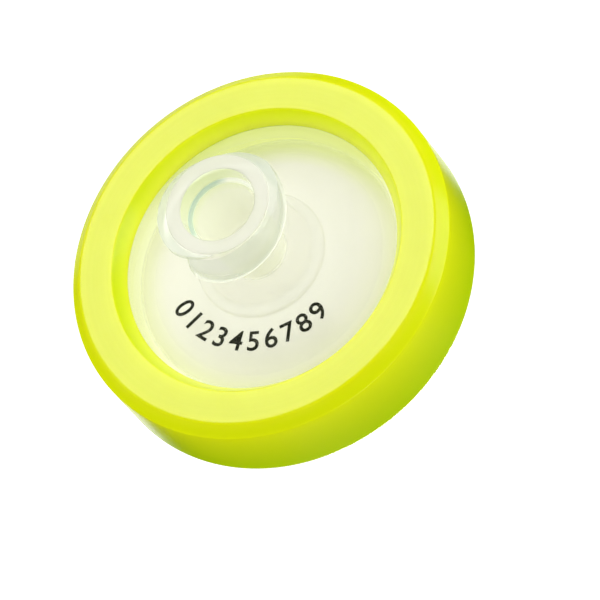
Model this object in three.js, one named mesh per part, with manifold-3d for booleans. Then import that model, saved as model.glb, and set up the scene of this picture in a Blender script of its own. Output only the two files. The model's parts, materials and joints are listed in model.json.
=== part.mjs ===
// Syringe filter, 25 mm: a flat round capsule with a female Luer-lock inlet on one face and
// a male Luer-slip outlet on the other. Two clear housings clamp a thin membrane between
// them, and a thick moulded colour ring grips both rims.
//
// Millimetres, +Z up. Every piece is turned about one axis, which is local Z, with the
// seam between the two housings at z = 0 and the inlet on the +Z side. The whole filter
// then leans as it lies on a bench: on the lower rim of its ring and the end of its outlet.

import * as THREE from 'three';
import { mergeVertices } from 'three/addons/utils/BufferGeometryUtils.js';
import Module from 'manifold-3d';

// Colour ring, a C in section that wraps the rims of both housings
const ringRadius = 12.5;
const ringHeight = 6.1;
const ringWall = 1.3; // outside the rims
const ringLip = 1.6; // from inside the wall to the edge of the window
const ringBevel = 0.7;
const windowDepth = 1.07; // from the ring's flat face down to the housing's face
const windowDraft = 0.65; // the window narrows by this much for each mm of depth

// Housings: rim, the land outside the membrane, and the chamber over it
const rimBevel = 0.3;
const rimLand = 1.7;
const chamberDepth = 0.28; // at the chamber's edge
const chamberSlope = 0.06; // the chamber deepens towards the middle
const bossStep = 0.75; // how far the low boss reaches past the foot of the hub
const bossHeight = 0.35;
const bossEdge = 0.1;

// Membrane and the bead that pinches it on each side
const membraneThickness = 0.2;
const beadInset = 0.65; // from the membrane's edge to the bead, and on to the chamber
const beadHeight = 0.15;

// Female Luer-lock inlet
const hubLength = 7.6; // above the housing's face
const hubWall = 0.97; // round the lead-in
const hubDraft = 0.01;
const hubEdge = 0.12;
const hubFillet = 0.3;
const luerRadius = 2.15; // at the top of the socket's cone
const luerTaper = 0.03; // change of radius per mm, the 6 % Luer cone
const leadInStep = 0.25; // the lead-in is this much wider than the cone
const leadInDepth = 1.4;
const socketFloor = 1.35; // thickness of the wall below the socket
const inletHoleRadius = 1.0;

// Two-start right-hand thread on the hub
const threadStarts = 2;
const threadLead = 5.0;
const threadHeight = 0.65;
const threadCrestWidth = 0.9;
const threadTopFlank = 1.4; // rounded, and guides a collar's thread down
const threadUnderFlank = 0.3; // steep, and the side that the collar pulls against
const threadStartAngle = THREE.MathUtils.degToRad(240);
const threadSweep = THREE.MathUtils.degToRad(245);
const threadRunIn = THREE.MathUtils.degToRad(60);
const threadRunOut = THREE.MathUtils.degToRad(20);
const threadStartDepth = 0.1; // from the hub's end to the foot of the crest
const threadRootBite = 0.12; // how far the thread's root sinks into the hub

// Male Luer-slip outlet
const tipLength = 7.5; // below the housing's face
const tipEndRadius = 1.96;
const tipEdge = 0.15;
const tipFillet = 0.4;
const tipBoreRadius = 1.05;

// Drain pattern that carries the membrane on the outlet side
const ridgeCount = 4;
const ridgeWidth = 0.5;
const channelCount = 8;
const channelWidth = 0.8;
const channelDrop = 0.12; // the radial channels run this much deeper than the chamber

// Fit between pieces, and smoothness
const fitGap = 0.3; // clearance at each joint between two pieces
const facets = 80; // flats round each turned surface
const threadSteps = 36;
const arcSteps = 3;

// Radii, from the ring inwards
const pocketRadius = ringRadius - ringWall;
const windowRadius = pocketRadius - ringLip;
const rimRadius = pocketRadius - fitGap;
const membranePocket = rimRadius - rimLand;
const membraneRadius = membranePocket - fitGap;
const beadRadius = membraneRadius - beadInset;
const chamberRadius = beadRadius - beadInset;

// Radii, from the inlet's bore outwards
const leadInRadius = luerRadius + leadInStep;
const hubRadius = leadInRadius + hubWall;
const hubFootRadius = hubRadius + hubDraft * hubLength;
const bossRadius = hubFootRadius + bossStep;

// Heights above the seam, which both housings share
const faceHeight = ringHeight / 2 - windowDepth;
const pocketHalf = faceHeight + fitGap;
const beadTip = membraneThickness / 2 + fitGap;
const clampHeight = beadTip + beadHeight;
const chamberEdge = clampHeight + chamberDepth;
const bossTop = faceHeight + bossHeight;
const hubEnd = faceHeight + hubLength;
const tipEnd = faceHeight + tipLength;

const wasm = await Module();
wasm.setup();

function toSolid(geometry) {
  const bare = geometry.clone();
  bare.deleteAttribute('normal');
  bare.deleteAttribute('uv');
  const merged = mergeVertices(bare);
  return new wasm.Manifold(
    new wasm.Mesh({
      numProp: 3,
      vertProperties: new Float32Array(merged.attributes.position.array),
      triVerts: new Uint32Array(merged.index.array),
    }),
  );
}

function toGeometry(solid) {
  const mesh = solid.getMesh();
  const geometry = new THREE.BufferGeometry();
  geometry.setAttribute('position', new THREE.BufferAttribute(mesh.vertProperties, 3));
  geometry.setIndex(new THREE.BufferAttribute(mesh.triVerts, 1));
  geometry.computeVertexNormals();
  return geometry;
}

function point(radius, height) {
  return new THREE.Vector2(radius, height);
}

// Points of an arc in a section, from one angle in degrees to another.
function arc(radius, height, size, from, to) {
  return Array.from({ length: arcSteps + 1 }, (_, i) => {
    const angle = THREE.MathUtils.degToRad(from + ((to - from) * i) / arcSteps);
    return point(radius + size * Math.cos(angle), height + size * Math.sin(angle));
  });
}

// Turns a closed section about Z. Half a facet of turn puts flats, not corners, on the
// X and Y sides, so the filter has flats to lie on.
function revolve(section) {
  const closed = [...section, section[0].clone()];
  return new THREE.LatheGeometry(closed, facets, Math.PI / facets).rotateX(Math.PI / 2);
}

function ringGeometry() {
  const half = ringHeight / 2;
  const lipRadius = windowRadius - windowDraft * (half - pocketHalf);
  return revolve([
    point(lipRadius, -pocketHalf),
    point(windowRadius, -half),
    point(ringRadius - ringBevel, -half),
    point(ringRadius, -half + ringBevel),
    point(ringRadius, half - ringBevel),
    point(ringRadius - ringBevel, half),
    point(windowRadius, half),
    point(lipRadius, pocketHalf),
    point(pocketRadius, pocketHalf),
    point(pocketRadius, -pocketHalf),
  ]);
}

// Rim, membrane pocket and pinching bead: the same on both housings, listed from the
// outer face in to the chamber wall for the upper one.
function rimSection() {
  return [
    point(rimRadius - rimBevel, faceHeight),
    point(rimRadius, faceHeight - rimBevel),
    point(rimRadius, fitGap / 2),
    point(membranePocket, fitGap / 2),
    point(membranePocket, clampHeight),
    point(beadRadius + beadHeight, clampHeight),
    point(beadRadius, beadTip),
    point(beadRadius - beadHeight, clampHeight),
    point(chamberRadius, clampHeight),
    point(chamberRadius, chamberEdge),
  ];
}

// The low boss round the foot of the hub, and the same one round the foot of the tip.
function bossSection(footRadius, fillet) {
  return [
    ...arc(footRadius + fillet, bossTop + fillet, fillet, 180, 270),
    point(bossRadius - bossEdge, bossTop),
    point(bossRadius, bossTop - bossEdge),
    point(bossRadius, faceHeight),
  ];
}

function inletBodySection() {
  const leadInFoot = hubEnd - leadInDepth;
  const socketFoot = chamberHeight(inletHoleRadius) + socketFloor;
  const socketFootRadius = luerRadius - luerTaper * (leadInFoot - socketFoot);
  return [
    point(inletHoleRadius, chamberHeight(inletHoleRadius)),
    point(inletHoleRadius, socketFoot),
    point(socketFootRadius, socketFoot),
    point(luerRadius, leadInFoot),
    point(leadInRadius, leadInFoot),
    point(leadInRadius, hubEnd - hubEdge),
    point(leadInRadius + hubEdge, hubEnd),
    ...arc(hubRadius - hubEdge, hubEnd - hubEdge, hubEdge, 90, 0),
    ...bossSection(hubFootRadius, hubFillet),
    ...rimSection(),
  ].reverse();
}

// One start of the thread: a straight bar of the thread's section, wrapped down round the
// hub. It rises out of the hub over the run-in and sinks back over the shorter run-out, and
// the hub's end trims whatever would stand above it.
function threadGeometry(startAngle) {
  const rootRadius = hubRadius - threadRootBite;
  const rise = threadHeight + threadRootBite;
  const section = new THREE.Shape();
  section.moveTo(0, -threadUnderFlank);
  section.lineTo(rise, 0);
  section.lineTo(rise, threadCrestWidth);
  section.quadraticCurveTo(
    rise,
    threadCrestWidth + threadTopFlank / 2,
    0,
    threadCrestWidth + threadTopFlank,
  );
  const bar = new THREE.ExtrudeGeometry(section, {
    depth: threadSweep,
    steps: threadSteps,
    curveSegments: arcSteps,
    bevelEnabled: false,
  });
  const position = bar.attributes.position;
  for (let i = 0; i < position.count; i++) {
    const turned = position.getZ(i);
    const height = Math.min(turned / threadRunIn, (threadSweep - turned) / threadRunOut);
    const radius = rootRadius + position.getX(i) * THREE.MathUtils.clamp(height, 0.1, 1);
    const depth = threadStartDepth + (threadLead * turned) / (2 * Math.PI) - position.getY(i);
    position.setXYZ(
      i,
      radius * Math.cos(startAngle - turned),
      radius * Math.sin(startAngle - turned),
      hubEnd - Math.max(depth, hubEdge),
    );
  }
  return bar;
}

function inletGeometry() {
  let body = toSolid(revolve(inletBodySection()));
  for (let i = 0; i < threadStarts; i++) {
    const startAngle = threadStartAngle + (i * 2 * Math.PI) / threadStarts;
    body = body.add(toSolid(threadGeometry(startAngle)));
  }
  return toGeometry(body);
}

// Height of the outlet's chamber floor, and of the inlet's chamber roof, at a radius.
function chamberHeight(radius) {
  return chamberEdge + chamberSlope * (chamberRadius - radius);
}

// Round ridges stand on the chamber floor and end level with the pinching bead.
function ridgeSections() {
  const pitch = (chamberRadius - tipBoreRadius) / (ridgeCount + 0.5);
  return Array.from({ length: ridgeCount }, (_, i) => {
    const outer = chamberRadius - pitch * (i + 0.75) + ridgeWidth / 2;
    const inner = outer - ridgeWidth;
    return [
      point(outer, chamberHeight(outer)),
      point(outer, beadTip),
      point(inner, beadTip),
      point(inner, chamberHeight(inner)),
    ];
  }).flat();
}

// The outlet is listed tip up, like the inlet, and turned over afterwards.
function outletBodySection() {
  const tipFootRadius = tipEndRadius + luerTaper * tipLength;
  return [
    point(tipBoreRadius, chamberHeight(tipBoreRadius)),
    point(tipBoreRadius, tipEnd),
    point(tipEndRadius - tipEdge, tipEnd),
    point(tipEndRadius, tipEnd - tipEdge),
    ...bossSection(tipFootRadius, tipFillet),
    ...rimSection(),
    ...ridgeSections(),
  ].reverse();
}

// One drain channel, from the outlet's bore out through every round ridge. Its floor runs
// along the chamber floor, a little deeper.
function channelGeometry(angle) {
  const reach = chamberRadius - channelDrop;
  const section = new THREE.Shape([
    point(0, 0),
    point(reach, 0),
    point(reach, chamberHeight(reach) + channelDrop),
    point(0, chamberHeight(0) + channelDrop),
  ]);
  return new THREE.ExtrudeGeometry(section, { depth: channelWidth, bevelEnabled: false })
    .translate(0, 0, -channelWidth / 2)
    .rotateX(Math.PI / 2)
    .rotateZ(angle);
}

function outletGeometry() {
  let body = toSolid(revolve(outletBodySection()));
  for (let i = 0; i < channelCount; i++) {
    const angle = ((i + 0.5) * 2 * Math.PI) / channelCount;
    body = body.subtract(toSolid(channelGeometry(angle)));
  }
  return toGeometry(body).rotateX(Math.PI);
}

function membraneGeometry() {
  const half = membraneThickness / 2;
  return new THREE.LatheGeometry(
    [point(0, -half), point(membraneRadius, -half), point(membraneRadius, half), point(0, half)],
    facets,
    Math.PI / facets,
  ).rotateX(Math.PI / 2);
}

function piece(name, geometry, color, roughness) {
  const material = new THREE.MeshStandardMaterial({ color, roughness, metalness: 0 });
  const mesh = new THREE.Mesh(geometry, material);
  mesh.name = name;
  return mesh;
}

const turned = new THREE.Group();
turned.add(piece('overmould_ring', ringGeometry(), 0xe2ee2c, 0.35));
turned.add(piece('inlet_housing', inletGeometry(), 0xeef0e2, 0.25));
turned.add(piece('filter_membrane', membraneGeometry(), 0xfbfaf2, 0.8));
turned.add(piece('outlet_housing', outletGeometry(), 0xeef0e2, 0.25));

// The angle at which the ring's lower face and the end of the tip touch one flat surface,
// each along the flat that faces -Y.
const restTilt = Math.atan2(
  tipEnd - ringHeight / 2,
  (ringRadius - ringBevel - (tipEndRadius - tipEdge)) * Math.cos(Math.PI / facets),
);
turned.rotation.x = restTilt;

// The origin is under the middle of the filter, on the surface it lies on.
const bounds = new THREE.Box3().setFromObject(turned, true);
const middle = bounds.getCenter(new THREE.Vector3());
turned.position.set(-middle.x, -middle.y, -bounds.min.z);

const syringeFilter = new THREE.Group();
syringeFilter.add(turned);

export default syringeFilter;
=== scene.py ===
"""Looks of the 25 mm syringe filter: fine moulded meshes, plastics, floor, light and camera.

Sizes are in millimetres and repeat the ones the CAD is driven by. Each section is a list
of corners (radius, height above the seam, rounding) that is turned about the filter's own
axis, and the axis itself comes from the frame's record. Tints, with the painted light and
shade among them, are placed in the filter's own frame, by height above the seam, by distance
from the axis and by side.
"""

import json
from functools import reduce
from math import acos, cos, pi, radians, sin, tan
from types import SimpleNamespace

import bmesh
import bpy
from mathutils import Matrix, Vector


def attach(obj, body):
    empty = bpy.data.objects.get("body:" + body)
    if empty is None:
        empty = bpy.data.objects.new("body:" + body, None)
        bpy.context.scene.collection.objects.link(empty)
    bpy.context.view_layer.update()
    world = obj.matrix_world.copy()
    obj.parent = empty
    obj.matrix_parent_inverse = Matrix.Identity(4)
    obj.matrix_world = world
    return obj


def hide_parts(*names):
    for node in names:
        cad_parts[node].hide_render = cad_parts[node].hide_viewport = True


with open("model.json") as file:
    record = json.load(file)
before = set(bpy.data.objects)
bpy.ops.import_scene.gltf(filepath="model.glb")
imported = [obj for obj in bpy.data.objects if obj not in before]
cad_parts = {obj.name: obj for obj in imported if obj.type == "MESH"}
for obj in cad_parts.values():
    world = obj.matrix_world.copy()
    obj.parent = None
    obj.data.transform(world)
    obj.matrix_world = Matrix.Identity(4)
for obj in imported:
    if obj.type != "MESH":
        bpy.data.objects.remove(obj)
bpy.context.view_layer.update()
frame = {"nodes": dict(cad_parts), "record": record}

MM = 0.001

# ---------------------------------------------------------------- sizes, millimetres

CAD_RING_RADIUS = 12.5
RING_RADIUS = 12.48  # a hair inside the CAD's
RING_HEIGHT = 6.1
RING_WALL = 1.3
RING_LIP = 1.6
RING_BEVEL = 0.7
WINDOW_DEPTH = 1.07
WINDOW_DRAFT = 0.65

RIM_BEVEL = 0.3
RIM_LAND = 1.7
CHAMBER_DEPTH = 0.28
CHAMBER_SLOPE = 0.06
BOSS_RADIUS = 4.2
BOSS_HEIGHT = 0.35
MEMBRANE_HALF = 0.1
BEAD_INSET = 0.65
BEAD_HEIGHT = 0.15
FIT_GAP = 0.3
TOUCH = 0.01  # hair gap where the ring is moulded onto the housings

HUB_LENGTH = 7.6
HUB_WALL = 0.97
HUB_DRAFT = 0.01
HUB_FILLET = 0.3
LUER_RADIUS = 2.15
LUER_TAPER = 0.03
LEAD_IN_STEP = 0.25
LEAD_IN_DEPTH = 1.4
LEDGE_RISE = 0.05
SOCKET_FLOOR = 1.35
INLET_HOLE_RADIUS = 1.0

THREAD_LEAD = 5.0
THREAD_HEIGHT = 0.65
THREAD_CREST = 0.9
THREAD_TOP_FLANK = 1.4
THREAD_UNDER_FLANK = 0.3
THREAD_START_ANGLE = radians(240)
THREAD_SWEEP = radians(245)
THREAD_RUN_IN = radians(60)
THREAD_RUN_OUT = radians(20)
THREAD_START_DEPTH = 0.05
THREAD_BITE = 0.12
THREAD_LEAST = 0.1  # share of the full height that each end keeps

TIP_LENGTH = 7.5
TIP_END_RADIUS = 1.96
TIP_FILLET = 0.4
TIP_BORE_RADIUS = 1.05

FACE = RING_HEIGHT / 2 - WINDOW_DEPTH
POCKET_RADIUS = CAD_RING_RADIUS - RING_WALL
WINDOW_RADIUS = POCKET_RADIUS - RING_LIP
RIM_RADIUS = POCKET_RADIUS - FIT_GAP
MEMBRANE_POCKET = RIM_RADIUS - RIM_LAND
BEAD_RADIUS = MEMBRANE_POCKET - FIT_GAP - BEAD_INSET
CHAMBER_RADIUS = BEAD_RADIUS - BEAD_INSET
BEAD_TIP = MEMBRANE_HALF + FIT_GAP
CLAMP_HEIGHT = BEAD_TIP + BEAD_HEIGHT
CHAMBER_EDGE = CLAMP_HEIGHT + CHAMBER_DEPTH
LEAD_IN_RADIUS = LUER_RADIUS + LEAD_IN_STEP
HUB_RADIUS = LEAD_IN_RADIUS + HUB_WALL
HUB_FOOT_RADIUS = HUB_RADIUS + HUB_DRAFT * HUB_LENGTH
BOSS_TOP = FACE + BOSS_HEIGHT
HUB_END = FACE + HUB_LENGTH
LEDGE = HUB_END - LEAD_IN_DEPTH  # height of the step inside the socket
TIP_END = FACE + TIP_LENGTH

PRINT_RADIUS = 5.85
PRINT_START = radians(-8)
PRINT_END = radians(94)
DIGIT_COUNT = 10
DIGIT_SIZE = 1.85
DIGIT_WEIGHT = 0.022  # added on both sides of each stroke
INK_HALF = 0.006
INK_HEIGHT = 0.012  # of the middle of the ink, above the face

# ---------------------------------------------------------------- corner roundings, millimetres

SHARP = 0
RING_SIDE_ROUND = 0.15
RING_FACE_ROUND = 0.3
WINDOW_ROUND = 0.12
LIP_ROUND = 0.03
RIM_ROUND = 0.05
BEAD_ROUND = 0.03
CHAMBER_ROUND = 0.06
BOSS_ROUND = 0.12
BOSS_FOOT_ROUND = 0.06
HOLE_ROUND = 0.1
SOCKET_FLOOR_ROUND = 0.15
LEDGE_ROUND = 0.06
MOUTH_ROUND = 0.1
HUB_END_ROUND = 0.06
TIP_MOUTH_ROUND = 0.12
TIP_END_ROUND = 0.22
THREAD_ROUND = 0.16

# ---------------------------------------------------------------- fineness of the meshes

SEGMENTS = 256  # round each turned surface
CORNER_STEPS = 5
ROW = 0.25  # about how long the rows of a straight stretch are
FLANK_STEPS = 8
THREAD_STEPS = 180
CRISP_ANGLE = radians(40)
WELD = 1e-7  # metres

# ---------------------------------------------------------------- tones, linear RGB

LIME = (0.615, 0.655, 0.002)
LIME_PALE = (0.64, 0.68, 0.015)
LIME_MOULD_LINE = (0.58, 0.63, 0.001)
LIME_BEVEL = (0.61, 0.68, 0.003)
# painted light and shade on the outer wall: lighter at its top, greener and darker at its foot
LIME_WALL_PAINTED_LIGHT = (0.675, 0.745, 0.006)
LIME_WALL_PAINTED_SHADE = (0.42, 0.60, 0.002)
# lit and shaded copies of the lip, with painted light brighter at its foot and a painted glow
# there
LIP_PAINTED_LIGHT = (0.67, 0.76, 0.008)
LIP_PAINTED_SHADE = (0.55, 0.66, 0.004)
LIP_FOOT_PAINTED_LIGHT = (0.83, 0.93, 0.06)
LIP_FOOT_PAINTED_LIGHT_IN_SHADE = (0.68, 0.80, 0.015)
LIP_PAINTED_GLOW = (0.9, 1, 0.1)

MILKY = (0.78, 0.785, 0.69)
MILKY_PALE = (0.81, 0.815, 0.72)
# painted shade on the thread, for the dark edges that refraction gives clear plastic
THREAD_PAINTED_SHADE = (0.52, 0.58, 0.48)
HUB_END_TONE = (0.58, 0.585, 0.47)
SOCKET_TONE = (0.75, 0.77, 0.58)
LEAD_IN_TONE = (0.72, 0.80, 0.42)
# painted highlight and painted shade on the socket's step
LEDGE_PAINTED_HIGHLIGHT = (0.96, 0.96, 0.90)
LEDGE_PAINTED_SHADE = (0.45, 0.60, 0.50)
# painted lime light from the ring on the plate beside the lip
PLATE_PAINTED_LIME_LIGHT = (0.80, 0.85, 0.26)
RIM_TONE = (0.85, 0.87, 0.60)
# painted lime light from the ring on the rims, on one side
RIM_PAINTED_LIME_LIGHT = (0.68, 0.74, 0.12)
# painted highlight along the thread's lower edges
THREAD_EDGE_PAINTED_HIGHLIGHT = (0.97, 0.97, 0.93)
# painted glows, on parts that are no lamp
WHITE_PAINTED_GLOW = (0.9, 0.92, 0.78)
RIM_PAINTED_GLOW = (0.85, 0.87, 0.6)
RIM_PAINTED_LIME_GLOW = (0.75, 0.82, 0.25)

FILM = (0.825, 0.81, 0.72)
FILM_PALE = (0.855, 0.84, 0.755)
# painted lime light from the ring on the film near it
FILM_PAINTED_LIME_LIGHT = (0.82, 0.88, 0.35)
INK = (0.005, 0.006, 0.003)
INK_WORN = (0.03, 0.034, 0.016)
FLOOR = (0.90, 0.90, 0.90)
FLOOR_PALE = (0.92, 0.92, 0.92)
WHITE = (1, 1, 1)

# ---------------------------------------------------------------- other looks

# painted shade falls towards the first two ways, on the lip and on the socket's step; painted
# light lifts the lip's shadow on the plate towards the third
LIP_SHADE_WAY = (0.87, -0.5, 0)
LEDGE_SHADE_WAY = (0.5, -0.87, 0)
PLATE_SHADE_WAY = (0, -1, 0)
PAINTED_LIME_LIGHT_WAY = (-0.7, -0.7, 0)  # painted lime light from the ring is strongest on the plates and the film towards here
LIMED_START = 4  # millimetres from the axis, that way
LIMED_FULL = 7.5
POLYPROPYLENE_IOR = 1.49
NOISE_LOW = 0.3  # most of a noise lies between these
NOISE_HIGH = 0.7

SKY = 0.82  # brightness of the studio above the horizon
BELOW = 0.7
HORIZON = 0.15  # how far up and down the two blend
LIGHT_TARGET = Vector((0, 0, 0.009))
FLOOR_HALF = 0.6
FLOOR_GLOW = 0.45

CAMERA_DISTANCE = 0.45
CAMERA_TARGET = Vector((0, 0.00254, 0.00895))
CAMERA_RIGHT = Vector((-0.755, 0.655, 0))  # turned so that the hub leans to the upper left
VIEW_WIDTH = 0.03727  # at the filter, metres
SENSOR = 36

# ---------------------------------------------------------------- the filter's own axis

inlet = next(m for m in frame["record"]["mounts"] if m["name"] == "inlet_end")
axis = Vector(inlet["axis"]).normalized()
hub_centre = Vector((0, *inlet["pos_m"][1:]))  # the mount's own point is beside the bore
across = Vector((1, 0, 0))
FILTER = Matrix((across, axis.cross(across), axis)).transposed().to_4x4()
FILTER.translation = hub_centre - axis * HUB_END * MM


# ---------------------------------------------------------------- mesh tools

def rounded(corners):
    """A closed outline in which each corner (radius, height, rounding) is an arc."""
    outline = []
    for index, (r, z, rounding) in enumerate(corners):
        corner = Vector((r, z))
        if rounding == SHARP:
            outline.append(corner)
            continue
        back = (Vector(corners[index - 1][:2]) - corner).normalized()
        ahead = (Vector(corners[(index + 1) % len(corners)][:2]) - corner).normalized()
        half = acos(max(-1.0, min(1.0, back.dot(ahead)))) / 2
        centre = corner + (back + ahead).normalized() * (rounding / sin(half))
        arm = corner + back * (rounding / tan(half)) - centre
        turn = pi - 2 * half
        side = 1 if back.cross(ahead) < 0 else -1
        for step in range(CORNER_STEPS + 1):
            angle = side * turn * step / CORNER_STEPS
            outline.append(centre + Matrix.Rotation(angle, 2) @ arm)
    return outline


def in_rows(outline):
    """The same outline with long straight stretches cut into rows."""
    rows = []
    for index, here in enumerate(outline):
        after = outline[(index + 1) % len(outline)]
        cuts = max(1, int((after - here).length / ROW))
        rows += [here.lerp(after, cut / cuts) for cut in range(cuts)]
    return rows


def grid_mesh(name, columns, closed_round):
    """A closed mesh through columns of points, which are in millimetres."""
    mesh = bmesh.new()
    built = [[mesh.verts.new(Vector(p) * MM) for p in column] for column in columns]
    pairs = list(zip(built, built[1:]))
    if closed_round:
        pairs.append((built[-1], built[0]))
    else:
        mesh.faces.new(built[0])
        mesh.faces.new(built[-1][::-1])
    count = len(columns[0])
    for left, right in pairs:
        for row in range(count):
            after = (row + 1) % count
            mesh.faces.new((left[row], right[row], right[after], left[after]))
    bmesh.ops.remove_doubles(mesh, verts=mesh.verts, dist=WELD)
    bmesh.ops.dissolve_degenerate(mesh, dist=WELD, edges=mesh.edges)
    bmesh.ops.recalc_face_normals(mesh, faces=mesh.faces)
    return as_data(name, mesh)


def as_data(name, mesh):
    """The finished mesh as data that an object can use."""
    data = bpy.data.meshes.new(name)
    mesh.to_mesh(data)
    mesh.free()
    return data


def turned(name, corners):
    """A piece turned about the filter's axis."""
    rows = in_rows(rounded(corners))
    columns = []
    for segment in range(SEGMENTS):
        angle = 2 * pi * segment / SEGMENTS
        columns.append([(p.x * cos(angle), p.x * sin(angle), p.y) for p in rows])
    return in_place(name, grid_mesh(name, columns, closed_round=True))


def in_scene(name, data):
    """A new object in the scene."""
    thing = bpy.data.objects.new(name, data)
    bpy.context.scene.collection.objects.link(thing)
    return thing


def in_place(name, data):
    """An object at the origin whose mesh stands on the filter's axis."""
    data.transform(FILTER)
    return in_scene(name, data)


def united(piece, tool):
    """Joins the tool to the piece as one solid, and removes the tool."""
    change = piece.modifiers.new("Union", "BOOLEAN")
    change.operation = "UNION"
    change.solver = "EXACT"
    change.object = tool
    bpy.context.view_layer.update()
    graph = bpy.context.evaluated_depsgraph_get()
    data = bpy.data.meshes.new_from_object(piece.evaluated_get(graph))
    piece.modifiers.clear()
    old = piece.data
    piece.data = data
    bpy.data.meshes.remove(old)
    bpy.data.objects.remove(tool)


def smooth(piece):
    """Smooth shading, with flat faces kept flat and true edges kept crisp."""
    piece.data.shade_smooth()
    mesh = bmesh.new()
    mesh.from_mesh(piece.data)
    for edge in mesh.edges:
        edge.smooth = edge.calc_face_angle(0) < CRISP_ANGLE
    mesh.to_mesh(piece.data)
    mesh.free()
    weighted = piece.modifiers.new("Weighted normals", "WEIGHTED_NORMAL")
    weighted.keep_sharp = True


def finished(piece, material, node):
    """Gives a piece its finish and its body, and hides the CAD node that it stands for."""
    piece.data.materials.clear()
    piece.data.materials.append(material)
    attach(piece, "root")
    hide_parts(node)


# ---------------------------------------------------------------- material tools

class Nodes:
    """Short calls that add and wire shader nodes in one material."""

    def __init__(self, name):
        self.material = bpy.data.materials.new(name)
        self.material.use_nodes = True
        self.tree = self.material.node_tree
        self.shader = self.tree.nodes["Principled BSDF"]
        self.place = self.filter_place()
        parts = self.add("ShaderNodeSeparateXYZ")
        self.link(self.place, parts.inputs["Vector"])
        self.height = parts.outputs["Z"]
        self.radius = self.distance_from_axis()
        self.turn = self.math("ARCTAN2", parts.outputs["Y"], parts.outputs["X"])

    def add(self, kind, **values):
        node = self.tree.nodes.new(kind)
        for key, value in values.items():
            setattr(node, key, value)
        return node

    def link(self, source, target):
        self.tree.links.new(source, target)

    def socket(self, key):
        return self.shader.inputs[key.replace("_", " ")]

    def fixed(self, **values):
        """Constants, straight on the shader's own sockets."""
        for key, value in values.items():
            self.socket(key).default_value = value

    def varied(self, **sources):
        """What varies over the surface, linked to the shader's sockets."""
        for key, source in sources.items():
            self.link(source, self.socket(key))

    # places on the filter

    def filter_place(self):
        """Position in the filter's own frame, with Z on its axis and 0 at the seam."""
        back = FILTER.inverted()
        mapping = self.add("ShaderNodeMapping")
        mapping.inputs["Location"].default_value = back.translation
        mapping.inputs["Rotation"].default_value = back.to_euler()
        self.link(self.add("ShaderNodeTexCoord").outputs["Object"], mapping.inputs["Vector"])
        return mapping.outputs["Vector"]

    def distance_from_axis(self):
        flat = self.add("ShaderNodeVectorMath", operation="MULTIPLY")
        self.link(self.place, flat.inputs[0])
        flat.inputs[1].default_value = (1, 1, 0)
        length = self.add("ShaderNodeVectorMath", operation="LENGTH")
        self.link(flat.outputs["Vector"], length.inputs[0])
        return length.outputs["Value"]

    def along(self, way):
        """Distance from the axis in one direction of the filter's own frame."""
        node = self.add("ShaderNodeVectorMath", operation="DOT_PRODUCT")
        self.link(self.place, node.inputs[0])
        node.inputs[1].default_value = way
        return node.outputs["Value"]

    # noise

    def noise(self, size_mm, detail=4, roughness=0.5):
        """Noise with features of about this size on the filter."""
        noise = self.add("ShaderNodeTexNoise")
        noise.inputs["Scale"].default_value = 1 / (size_mm * MM)
        noise.inputs["Detail"].default_value = detail
        noise.inputs["Roughness"].default_value = roughness
        self.link(self.place, noise.inputs["Vector"])
        return noise.outputs["Fac"]

    def rings(self, size_mm):
        """Noise that is the same all round the axis, as a turned mould leaves it."""
        place = self.add("ShaderNodeCombineXYZ")
        self.link(self.radius, place.inputs["X"])
        self.link(self.height, place.inputs["Y"])
        noise = self.add("ShaderNodeTexNoise")
        noise.inputs["Scale"].default_value = 1 / (size_mm * MM)
        self.link(place.outputs["Vector"], noise.inputs["Vector"])
        return noise.outputs["Fac"]

    def spread(self, noise, low=0, high=1):
        """Noise stretched over these values, because most of it lies near its middle."""
        return self.ramp(noise, NOISE_LOW, NOISE_HIGH, low, high)

    # arithmetic

    def ramp(self, source, start, end, out_start, out_end):
        """A straight ramp between two values of the source, level past both."""
        node = self.add("ShaderNodeMapRange")
        self.link(source, node.inputs["Value"])
        node.inputs["From Min"].default_value = start
        node.inputs["From Max"].default_value = end
        node.inputs["To Min"].default_value = out_start
        node.inputs["To Max"].default_value = out_end
        return node.outputs["Result"]

    def fade(self, source, start, full):
        """0 until the source reaches the start and 1 from full on, both in millimetres."""
        return self.ramp(source, start * MM, full * MM, 0, 1)

    def band(self, source, middle, half):
        """1 at the middle of a band in millimetres, falling to 0 at its two edges."""
        rise = self.fade(source, start=middle - half, full=middle)
        fall = self.fade(source, start=middle + half, full=middle)
        return self.times(rise, fall)

    def share(self, mask, most):
        """The mask, with this as its highest value."""
        return self.ramp(mask, 0, 1, 0, most)

    def math(self, operation, *sources):
        node = self.add("ShaderNodeMath", operation=operation)
        for source, target in zip(sources, node.inputs):
            self.link(source, target)
        return node.outputs["Value"]

    def greatest(self, *sources):
        return reduce(lambda one, other: self.math("MAXIMUM", one, other), sources)

    def times(self, *sources):
        return reduce(lambda one, other: self.math("MULTIPLY", one, other), sources)

    def less_from_one(self, mask):
        return self.ramp(mask, 0, 1, 1, 0)

    # colour and relief

    def mix(self, factor, first, second):
        """Two colours, each a constant or a source, mixed by the factor."""
        node = self.add("ShaderNodeMix", data_type="RGBA")
        self.link(factor, node.inputs["Factor"])
        for socket, value in (("A", first), ("B", second)):
            target = [s for s in node.inputs if s.name == socket and s.type == "RGBA"][0]
            if isinstance(value, tuple):
                target.default_value = (*value, 1)
            else:
                self.link(value, target)
        return [s for s in node.outputs if s.type == "RGBA"][0]

    def bump(self, height, distance_mm, strength=1.0, under=None):
        node = self.add("ShaderNodeBump")
        node.inputs["Distance"].default_value = distance_mm * MM
        node.inputs["Strength"].default_value = strength
        self.link(height, node.inputs["Height"])
        if under is not None:
            self.link(under, node.inputs["Normal"])
        return node.outputs["Normal"]


# ---------------------------------------------------------------- lime plastic

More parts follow.
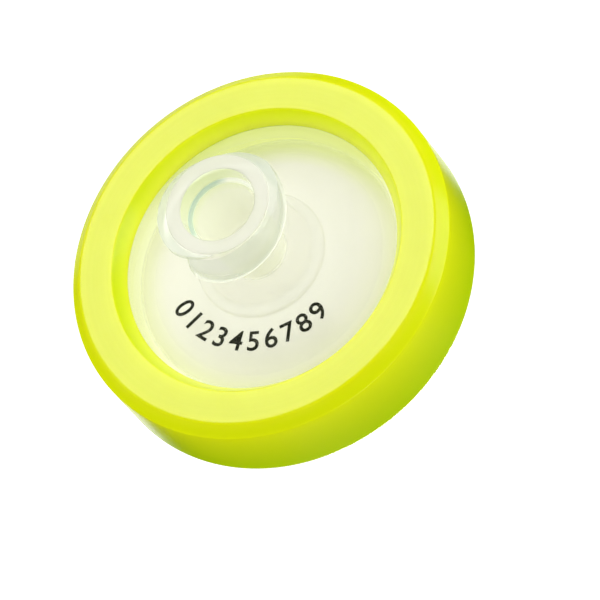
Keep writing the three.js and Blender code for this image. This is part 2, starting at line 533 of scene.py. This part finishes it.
def lime_tone(n, flow, rings, lip, foot):
    """Lime with painted light and shade: a lighter outer wall that is a little greener and
    darker down to its foot, lit and shaded sides of the lip, and a brighter foot of the lip.
    """
    tone = n.mix(n.spread(flow), LIME, LIME_PALE)
    tone = n.mix(n.ramp(rings, 0.4, 0.75, 0, 0.45), tone, LIME_MOULD_LINE)
    top = RING_HEIGHT / 2
    tone = n.mix(n.fade(n.height, start=top - 0.05, full=top - 0.4), tone, LIME_BEVEL)
    tone = n.mix(n.fade(n.height, start=top - 0.6, full=top - 0.9), tone, LIME_WALL_PAINTED_LIGHT)
    # painted shade: greener and darker down the outer wall to its foot
    painted_wall_shade = n.times(
        n.fade(n.height, start=2.1, full=-2.6),
        n.fade(n.radius, start=RING_RADIUS - 0.3, full=RING_RADIUS - 0.1),
    )
    tone = n.mix(painted_wall_shade, tone, LIME_WALL_PAINTED_SHADE)
    # painted shade on one side of the lip, and painted light at its foot
    shade = n.fade(n.along(LIP_SHADE_WAY), start=4, full=9)
    lip_tone = n.mix(shade, LIP_PAINTED_LIGHT, LIP_PAINTED_SHADE)
    foot_tone = n.mix(shade, LIP_FOOT_PAINTED_LIGHT, LIP_FOOT_PAINTED_LIGHT_IN_SHADE)
    return n.mix(lip, tone, n.mix(foot, lip_tone, foot_tone))


def lime_plastic():
    """Bright lime polypropylene, satin, with faint flow marks and turned mould lines, painted
    light and shade on the wall and the lip, and a painted glow at the lip's foot.
    """
    n = Nodes("Lime plastic")
    flow = n.noise(5)
    rings = n.rings(0.3)
    lip = n.fade(n.radius, start=WINDOW_RADIUS + 0.02, full=WINDOW_RADIUS - 0.04)
    foot = n.fade(n.height, start=FACE + 0.9, full=FACE)
    peel = n.bump(n.noise(1.6, detail=2), distance_mm=0.002, strength=0.3)
    n.varied(
        Base_Color=lime_tone(n, flow, rings, lip, foot),
        Roughness=n.spread(flow, 0.2, 0.24),
        Normal=n.bump(rings, distance_mm=0.002, strength=0.3, under=peel),
        # a painted glow at the foot of the lip
        Emission_Strength=n.share(n.times(lip, foot), 0.08),
    )
    n.fixed(Emission_Color=(*LIP_PAINTED_GLOW, 1))
    n.fixed(IOR=POLYPROPYLENE_IOR, Specular_IOR_Level=0.33)
    n.fixed(Subsurface_Weight=0.9, Subsurface_Scale=2.0 * MM)
    n.fixed(Subsurface_Radius=(1.0, 1.0, 0.05))
    return n.material


# ---------------------------------------------------------------- natural plastic

def hub_places(n, at):
    """The hub, its socket, the thread round it and the tip opposite, each from 0 to 1."""
    at.hub = n.fade(n.height, start=FACE + 0.1, full=FACE + 0.6)
    at.hub_upper = n.fade(n.height, start=FACE + 3.0, full=FACE + 5.0)
    at.end = n.times(
        n.fade(n.height, start=HUB_END - 0.08, full=HUB_END - 0.01),
        n.fade(n.radius, start=HUB_RADIUS + 0.02, full=HUB_RADIUS - 0.05),
    )
    seam_radius = HUB_RADIUS + HUB_DRAFT * HUB_END
    draft = n.ramp(n.height, 0, HUB_END * MM, 0, HUB_DRAFT * HUB_END * MM)
    undrafted = n.math("ADD", n.radius, draft)
    at.thread = n.times(at.hub, n.fade(undrafted, start=seam_radius, full=seam_radius + 0.05))
    at.socket = n.times(
        n.fade(n.height, start=FACE + 0.4, full=FACE + 1.2),
        n.fade(n.radius, start=LEAD_IN_RADIUS + 0.2, full=LEAD_IN_RADIUS + 0.02),
    )
    at.lead_in = n.fade(n.height, start=LEDGE - 1, full=LEDGE)
    at.ledge = n.times(at.socket, n.band(n.height, middle=LEDGE + 0.05, half=0.2))
    at.hub_side = n.times(
        at.hub,
        n.fade(n.radius, start=LEAD_IN_RADIUS + 0.1, full=LEAD_IN_RADIUS + 0.3),
        n.less_from_one(at.end),
    )
    at.tip = n.times(
        n.fade(n.height, start=-(FACE + 0.4), full=-(FACE + 1.0)),
        n.fade(n.radius, start=TIP_BORE_RADIUS + 0.35, full=TIP_BORE_RADIUS + 0.55),
    )


def plate_places(n, at):
    """The plates, the rims that the ring hides, and where lime light from the ring and light in
    the lip's shadow are painted, each from 0 to 1.
    """
    at.limed_side = n.fade(n.along(PAINTED_LIME_LIGHT_WAY), start=LIMED_START, full=LIMED_FULL)
    surface = n.fade(n.height, start=FACE - 0.1, full=FACE - 0.05)
    painted_light_band = n.times(surface, n.fade(n.radius, start=6.4, full=8.9))
    # painted lime light from the ring, stronger on one side
    at.near_lip = n.times(painted_light_band, n.ramp(at.limed_side, 0, 1, 0.55, 1))
    # painted light that lifts the lip's shadow on the plate
    at.shaded_lip = n.times(
        painted_light_band,
        n.band(n.radius, middle=CHAMBER_RADIUS, half=1.1),
        n.fade(n.along(PLATE_SHADE_WAY), start=0, full=6),
    )
    from_seam = n.math("ABSOLUTE", n.height)
    buried = n.times(
        n.fade(n.radius, start=BEAD_RADIUS + 0.05, full=BEAD_RADIUS + 0.45),
        n.fade(from_seam, start=1.5, full=1.3),
    )
    under_ring = n.fade(n.radius, start=WINDOW_RADIUS + 0.02, full=WINDOW_RADIUS + 0.3)
    at.rim = n.greatest(under_ring, buried)
    at.clamp = n.times(
        n.fade(from_seam, start=1.0, full=0.8),
        n.fade(n.radius, start=BEAD_RADIUS + 0.45, full=BEAD_RADIUS + 0.05),
    )


def thread_edge(n):
    """1 along the lower edges of the two thread starts, which wind down the hub, where a
    highlight is painted.
    """
    pitch = THREAD_LEAD / 2
    top = HUB_END - THREAD_START_DEPTH
    start = THREAD_START_ANGLE / pi
    pitches = n.ramp(n.height, (top - 2 * pitch) * MM, top * MM, -2, 0)
    half_turns = n.ramp(n.turn, -pi, pi, start + 1, start - 1)
    fold = n.add("ShaderNodeMath", operation="PINGPONG")
    n.link(n.math("ADD", pitches, half_turns), fold.inputs[0])
    fold.inputs[1].default_value = 0.5
    far, near = 0.2, 0.08  # millimetres from the edge
    edge = n.ramp(fold.outputs["Value"], far / pitch, near / pitch, 0, 1)
    outer = n.fade(n.radius, start=HUB_RADIUS + 0.3, full=HUB_RADIUS + 0.45)
    stretch = n.band(n.height, middle=HUB_END - 2.4, half=1.5)
    return n.times(edge, outer, n.ramp(stretch, 0, 0.3, 0, 1))


def natural_tone(n, at):
    """Milky white, with painted lime light from the ring, a painted highlight and painted shade
    on the socket's step, painted shade on the thread and a painted highlight along its lower
    edges.
    """
    tone = n.mix(n.spread(n.noise(4, detail=3)), MILKY, MILKY_PALE)
    # painted shade on the thread
    tone = n.mix(n.share(at.thread, 0.8), tone, THREAD_PAINTED_SHADE)
    tone = n.mix(at.end, tone, HUB_END_TONE)
    inside = n.times(at.socket, n.less_from_one(at.end))
    tone = n.mix(inside, tone, n.mix(at.lead_in, SOCKET_TONE, LEAD_IN_TONE))
    # painted highlight and painted shade on the socket's step
    ledge_painted_shade_side = n.fade(n.along(LEDGE_SHADE_WAY), start=0.8, full=1.5)
    tone = n.mix(at.ledge, tone, n.mix(ledge_painted_shade_side, LEDGE_PAINTED_HIGHLIGHT, LEDGE_PAINTED_SHADE))
    # painted lime light from the ring beside the lip
    tone = n.mix(at.near_lip, tone, PLATE_PAINTED_LIME_LIGHT)
    # painted lime light from the ring on the rims, on one side
    tone = n.mix(at.rim, tone, n.mix(at.limed_side, RIM_TONE, RIM_PAINTED_LIME_LIGHT))
    # painted highlight along the thread's lower edges
    return n.mix(at.thread_edge, tone, THREAD_EDGE_PAINTED_HIGHLIGHT)


def natural_veil(n, at):
    """How milky the plastic is: more where it is thick, or seen at a grazing angle, and denser
    along the thread's lower edges and the socket's step, where highlight and shade are painted.
    """
    facing = n.add("ShaderNodeLayerWeight")
    facing.inputs["Blend"].default_value = 0.25
    grazing = n.ramp(facing.outputs["Facing"], 0.6, 1.0, 0, 1)
    grazing = n.times(grazing, n.greatest(at.hub_side, at.tip))
    veil = n.greatest(
        n.ramp(n.height, (FACE + 0.4) * MM, (FACE + 0.1) * MM, 0.14, 0.24),
        n.share(at.hub_upper, 0.4),
        n.share(at.near_lip, 0.5),
        n.share(at.end, 0.85),
        n.share(at.tip, 0.35),
        n.share(grazing, 0.6),
        n.share(at.socket, 0.5),
        n.ramp(at.ledge, 0, 0.6, 0, 0.9),
        n.share(at.thread_edge, 0.7),
        n.share(at.rim, 0.75),
    )
    return n.times(veil, n.less_from_one(at.clamp))


def natural_glow(n, at):
    """Painted light as a glow: faint in the hub, stronger in the rims, in the lip's shadow and
    along the thread's lower edges.
    """
    return n.greatest(
        n.times(at.hub, n.ramp(n.greatest(at.end, at.thread), 0, 1, 0.065, 0)),
        n.share(at.rim, 0.22),
        n.share(at.shaded_lip, 0.5),
        n.share(at.thread_edge, 0.25),
    )


def natural_plastic():
    """Natural polypropylene: milky where it is thick, clearer in the thin plates.

    A faint glow is painted light: white in the hub and along the thread's lower edges, and lime
    in the rims under the ring and beside the ring's lip.
    """
    n = Nodes("Natural plastic")
    at = SimpleNamespace()
    hub_places(n, at)
    plate_places(n, at)
    at.thread_edge = thread_edge(n)
    painted_lime_glow = n.mix(at.limed_side, RIM_PAINTED_GLOW, RIM_PAINTED_LIME_GLOW)
    n.varied(
        Base_Color=natural_tone(n, at),
        Alpha=natural_veil(n, at),
        Roughness=n.spread(n.noise(3), 0.2, 0.26),
        Normal=n.bump(n.noise(1.2, detail=2), distance_mm=0.003, strength=0.3),
        # painted glow: lime near the ring, white elsewhere
        Emission_Color=n.mix(n.greatest(at.rim, at.near_lip), WHITE_PAINTED_GLOW, painted_lime_glow),
        Emission_Strength=natural_glow(n, at),
    )
    n.fixed(IOR=POLYPROPYLENE_IOR, Specular_IOR_Level=0.4)
    return n.material


# ---------------------------------------------------------------- film and ink

def membrane_film():
    """Matt white porous film, with painted lime light from the ring near it."""
    n = Nodes("Membrane")
    pores = n.noise(0.08, detail=5, roughness=0.7)
    tone = n.mix(n.ramp(pores, 0.35, 0.65, 0, 1), FILM, FILM_PALE)
    near_ring = n.fade(n.radius, start=7.1, full=8.4)
    limed_side = n.ramp(n.along(PAINTED_LIME_LIGHT_WAY), LIMED_START * MM, LIMED_FULL * MM, 0.4, 1)
    n.varied(
        # painted lime light from the ring near it
        Base_Color=n.mix(n.times(near_ring, limed_side), tone, FILM_PAINTED_LIME_LIGHT),
        Roughness=n.spread(pores, 0.85, 0.98),
        Normal=n.bump(pores, distance_mm=0.01),
    )
    return n.material


def ink():
    """Printing ink, near black, a little uneven, with pinholes."""
    n = Nodes("Ink")
    patchy = n.noise(0.18, roughness=0.7)
    n.varied(
        Base_Color=n.mix(n.ramp(patchy, 0.42, 0.7, 0, 1), INK, INK_WORN),
        Roughness=n.spread(patchy, 0.5, 0.8),
        Alpha=n.ramp(n.noise(0.09, detail=2), 0.36, 0.44, 0.35, 1),
        Normal=n.bump(patchy, distance_mm=0.006),
    )
    n.fixed(Specular_IOR_Level=0.05)
    return n.material


# ---------------------------------------------------------------- pieces

def mirrored(half):
    """The lower half of a section that is the same both sides of the seam."""
    return half + [(r, -z, rounding) for r, z, rounding in reversed(half)]


def ring_section():
    """C section that grips the rims of both housings and ends in a sloping window."""
    half = RING_HEIGHT / 2
    lip_foot = FACE + TOUCH
    lip_radius = WINDOW_RADIUS - WINDOW_DRAFT * (half - lip_foot)
    pocket = RIM_RADIUS + TOUCH
    return mirrored([
        (RING_RADIUS, half - RING_BEVEL, RING_SIDE_ROUND),
        (RING_RADIUS - RING_BEVEL, half, RING_FACE_ROUND),
        (WINDOW_RADIUS, half, WINDOW_ROUND),
        (lip_radius, lip_foot, LIP_ROUND),
        (RIM_RADIUS - RIM_BEVEL, lip_foot, SHARP),
        (pocket, FACE - RIM_BEVEL + TOUCH, SHARP),
    ])


def rim_section():
    """Rim, membrane pocket and pinching bead, the same on both housings."""
    return [
        (RIM_RADIUS - RIM_BEVEL, FACE, SHARP),
        (RIM_RADIUS, FACE - RIM_BEVEL, SHARP),
        (RIM_RADIUS, FIT_GAP / 2, RIM_ROUND),
        (MEMBRANE_POCKET, FIT_GAP / 2, RIM_ROUND),
        (MEMBRANE_POCKET, CLAMP_HEIGHT, RIM_ROUND),
        (BEAD_RADIUS + BEAD_HEIGHT, CLAMP_HEIGHT, SHARP),
        (BEAD_RADIUS, BEAD_TIP, BEAD_ROUND),
        (BEAD_RADIUS - BEAD_HEIGHT, CLAMP_HEIGHT, SHARP),
        (CHAMBER_RADIUS, CLAMP_HEIGHT, SHARP),
        (CHAMBER_RADIUS, CHAMBER_EDGE, CHAMBER_ROUND),
    ]


def boss_section(foot_radius, fillet):
    """The low boss round the foot of the hub, and of the tip."""
    return [
        (foot_radius, BOSS_TOP, fillet),
        (BOSS_RADIUS, BOSS_TOP, BOSS_ROUND),
        (BOSS_RADIUS, FACE, BOSS_FOOT_ROUND),
    ]


def chamber_height(radius):
    """Height of the chamber's sloping roof above the seam."""
    return CHAMBER_EDGE + CHAMBER_SLOPE * (CHAMBER_RADIUS - radius)


def inlet_section():
    """The inlet from its hole, up the socket and down the hub to the rim."""
    hole_foot = chamber_height(INLET_HOLE_RADIUS)
    socket_foot = hole_foot + SOCKET_FLOOR
    socket_radius = LUER_RADIUS - LUER_TAPER * (LEDGE - socket_foot)
    return [
        (INLET_HOLE_RADIUS, hole_foot, HOLE_ROUND),
        (INLET_HOLE_RADIUS, socket_foot, HOLE_ROUND),
        (socket_radius, socket_foot, SOCKET_FLOOR_ROUND),
        (LUER_RADIUS, LEDGE, LEDGE_ROUND),
        (LEAD_IN_RADIUS, LEDGE + LEDGE_RISE, LEDGE_ROUND),
        (LEAD_IN_RADIUS, HUB_END, MOUTH_ROUND),
        (HUB_RADIUS, HUB_END, HUB_END_ROUND),
        *boss_section(HUB_FOOT_RADIUS, HUB_FILLET),
        *rim_section(),
    ]


def outlet_section():
    """The outlet as if it stood above the seam, from its bore round the tip to the rim."""
    tip_foot_radius = TIP_END_RADIUS + LUER_TAPER * TIP_LENGTH
    return [
        (TIP_BORE_RADIUS, chamber_height(TIP_BORE_RADIUS), HOLE_ROUND),
        (TIP_BORE_RADIUS, TIP_END, TIP_MOUTH_ROUND),
        (TIP_END_RADIUS, TIP_END, TIP_END_ROUND),
        *boss_section(tip_foot_radius, TIP_FILLET),
        *rim_section(),
    ]


def thread_section():
    """A thread start's section: distance out from its root, and height above its edge."""
    rise = THREAD_HEIGHT + THREAD_BITE
    flank = []
    for step in range(1, FLANK_STEPS):
        t = step / FLANK_STEPS
        flank.append((rise * (1 - t * t), THREAD_CREST + THREAD_TOP_FLANK * t, SHARP))
    return rounded([
        (0, -THREAD_UNDER_FLANK, SHARP),
        (rise, 0, THREAD_ROUND),
        (rise, THREAD_CREST, SHARP),
        *flank,
        (0, THREAD_CREST + THREAD_TOP_FLANK, SHARP),
    ])


def thread_bar(start_angle):
    """One start of the thread, wrapped down round the hub."""
    root = HUB_RADIUS - THREAD_BITE
    section = thread_section()
    columns = []
    for step in range(THREAD_STEPS + 1):
        turned_by = THREAD_SWEEP * step / THREAD_STEPS
        height = min(turned_by / THREAD_RUN_IN, (THREAD_SWEEP - turned_by) / THREAD_RUN_OUT)
        height = max(THREAD_LEAST, min(1.0, height))
        drop = THREAD_START_DEPTH + THREAD_LEAD * turned_by / (2 * pi)
        angle = start_angle - turned_by
        column = []
        for p in section:
            radius = root + p.x * height
            z = HUB_END - max(drop - p.y, THREAD_START_DEPTH)
            column.append((radius * cos(angle), radius * sin(angle), z))
        columns.append(column)
    return in_place("thread bar", grid_mesh("thread bar", columns, closed_round=False))


def build_ring(material):
    ring = turned("colour_ring", ring_section())
    smooth(ring)
    finished(ring, material, "overmould_ring")


def build_inlet(material):
    shell = turned("inlet_shell", inlet_section())
    for turn in (0, pi):
        united(shell, thread_bar(THREAD_START_ANGLE + turn))
    smooth(shell)
    shell.visible_shadow = False  # clear plastic casts next to none
    finished(shell, material, "inlet_housing")


def build_outlet(material):
    shell = turned("outlet_shell", [(r, -z, rounding) for r, z, rounding in outlet_section()])
    smooth(shell)
    finished(shell, material, "outlet_housing")


def build_membrane(material):
    """The CAD's own membrane, with its finish."""
    film = frame["nodes"]["filter_membrane"]
    film.data.materials.clear()
    film.data.materials.append(material)


def digit_mesh(character):
    """One digit, flat, centred and as thick as a layer of ink."""
    text = bpy.data.curves.new("digit", "FONT")
    text.body = character
    text.size = DIGIT_SIZE * MM
    text.align_x = "CENTER"
    text.align_y = "CENTER"
    text.offset = DIGIT_WEIGHT * MM
    text.extrude = INK_HALF * MM
    digit = bpy.data.objects.new("digit", text)
    data = bpy.data.meshes.new_from_object(digit)
    bpy.data.objects.remove(digit)
    bpy.data.curves.remove(text)
    return data


def build_digits(material):
    """Plain digits in an arc, as on a dial, printed on the inlet's face."""
    mesh = bmesh.new()
    for index in range(DIGIT_COUNT):
        data = digit_mesh(str(index))
        angle = PRINT_START + (PRINT_END - PRINT_START) * index / (DIGIT_COUNT - 1)
        data.transform(
            Matrix.Rotation(angle, 4, "Z")
            @ Matrix.Translation((PRINT_RADIUS * MM, 0, (FACE + INK_HEIGHT) * MM))
            @ Matrix.Rotation(pi / 2, 4, "Z")
        )
        mesh.from_mesh(data)
    bmesh.ops.remove_doubles(mesh, verts=mesh.verts, dist=WELD)
    digits = in_place("printed_digits", as_data("printed_digits", mesh))
    digits.data.materials.append(material)
    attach(digits, "root")


# ---------------------------------------------------------------- stage

def build_floor():
    """A plain pale floor that neither tints the filter nor stops the light from below."""
    mesh = bmesh.new()
    bmesh.ops.create_grid(mesh, x_segments=1, y_segments=1, size=FLOOR_HALF)
    floor = in_scene("floor", as_data("floor", mesh))
    n = Nodes("Floor")
    n.varied(Base_Color=n.mix(n.spread(n.noise(30)), FLOOR, FLOOR_PALE))
    n.fixed(Roughness=0.9, Emission_Color=(*WHITE, 1), Emission_Strength=FLOOR_GLOW)
    floor.data.materials.append(n.material)
    floor.visible_diffuse = False
    floor.visible_glossy = False
    floor.visible_shadow = False


def build_studio():
    """Even white light from all round, a little weaker from below."""
    world = bpy.data.worlds.new("studio")
    world.use_nodes = True
    tree = world.node_tree
    where = tree.nodes.new("ShaderNodeTexCoord")
    height = tree.nodes.new("ShaderNodeSeparateXYZ")
    tree.links.new(where.outputs["Generated"], height.inputs["Vector"])
    blend = tree.nodes.new("ShaderNodeMapRange")
    tree.links.new(height.outputs["Z"], blend.inputs["Value"])
    blend.inputs["From Min"].default_value = -HORIZON
    blend.inputs["From Max"].default_value = HORIZON
    blend.inputs["To Min"].default_value = BELOW
    blend.inputs["To Max"].default_value = SKY
    background = tree.nodes["Background"]
    background.inputs["Color"].default_value = (*WHITE, 1)
    tree.links.new(blend.outputs["Result"], background.inputs["Strength"])
    world.cycles_visibility.glossy = False
    bpy.context.scene.world = world


def area_light(name, size, watts, offset):
    """A rectangle of light that faces the filter, this far from it in metres."""
    light = bpy.data.lights.new(name, "AREA")
    light.shape = "RECTANGLE"
    light.size, light.size_y = size
    light.energy = watts
    lamp = in_scene(name, light)
    lamp.location = LIGHT_TARGET + Vector(offset)
    lamp.rotation_mode = "QUATERNION"
    lamp.rotation_quaternion = (LIGHT_TARGET - lamp.location).to_track_quat("-Z", "Y")
    return lamp


def diffuse_light(name, size, watts, offset):
    """A light that leaves no highlight."""
    area_light(name, size, watts, offset).visible_glossy = False


def highlight_card(name, size, watts, offset):
    """A light that shows only as a highlight."""
    area_light(name, size, watts, offset).visible_diffuse = False


def build_lights():
    """Soft light from the front and both sides, and cards that light the gloss."""
    highlight_card("window", size=(0.36, 0.24), watts=1.6, offset=(-0.06, -0.54, 0.246))
    diffuse_light("key", size=(0.7, 0.5), watts=1.75, offset=(-0.06, -0.54, 0.3))
    area_light("side", size=(0.5, 0.3), watts=1.3, offset=(-0.5, 0.1, 0.25))
    diffuse_light("fill", size=(0.5, 0.3), watts=0.5, offset=(0.5, 0.15, 0.05))
    highlight_card("under", size=(0.3, 0.16), watts=3.5, offset=(0, 0.3, -0.52))
    highlight_card("card", size=(0.5, 0.3), watts=0.25, offset=(0, -0.25, -0.55))
    highlight_card("edge card", size=(0.5, 0.7), watts=0.5, offset=(0, -0.56, -0.2))
    highlight_card("back card", size=(0.4, 0.16), watts=0.5, offset=(0, 0.56, 0.22))
    highlight_card("floor card", size=(0.34, 0.24), watts=0.35, offset=(0, 0.02, -0.6))


def build_camera():
    """Looks straight down on the filter."""
    back = Vector((0, 0, 1))
    right = CAMERA_RIGHT.normalized()
    camera = in_scene("camera", bpy.data.cameras.new("camera"))
    pose = Matrix((right, back.cross(right), back)).transposed().to_4x4()
    pose.translation = CAMERA_TARGET + back * CAMERA_DISTANCE
    camera.matrix_world = pose
    camera.data.sensor_width = SENSOR
    camera.data.lens = SENSOR * CAMERA_DISTANCE / VIEW_WIDTH
    camera.data.clip_start = 0.01
    camera.data.clip_end = 5
    bpy.context.scene.camera = camera


build_camera()
build_floor()
build_studio()
build_lights()
bpy.context.scene.view_settings.view_transform = "Standard"
bpy.context.scene.cycles.transparent_max_bounces = 32  # for views through many clear walls

natural = natural_plastic()
build_ring(lime_plastic())
build_inlet(natural)
build_outlet(natural)
build_digits(ink())
build_membrane(membrane_film())

bpy.context.view_layer.update()
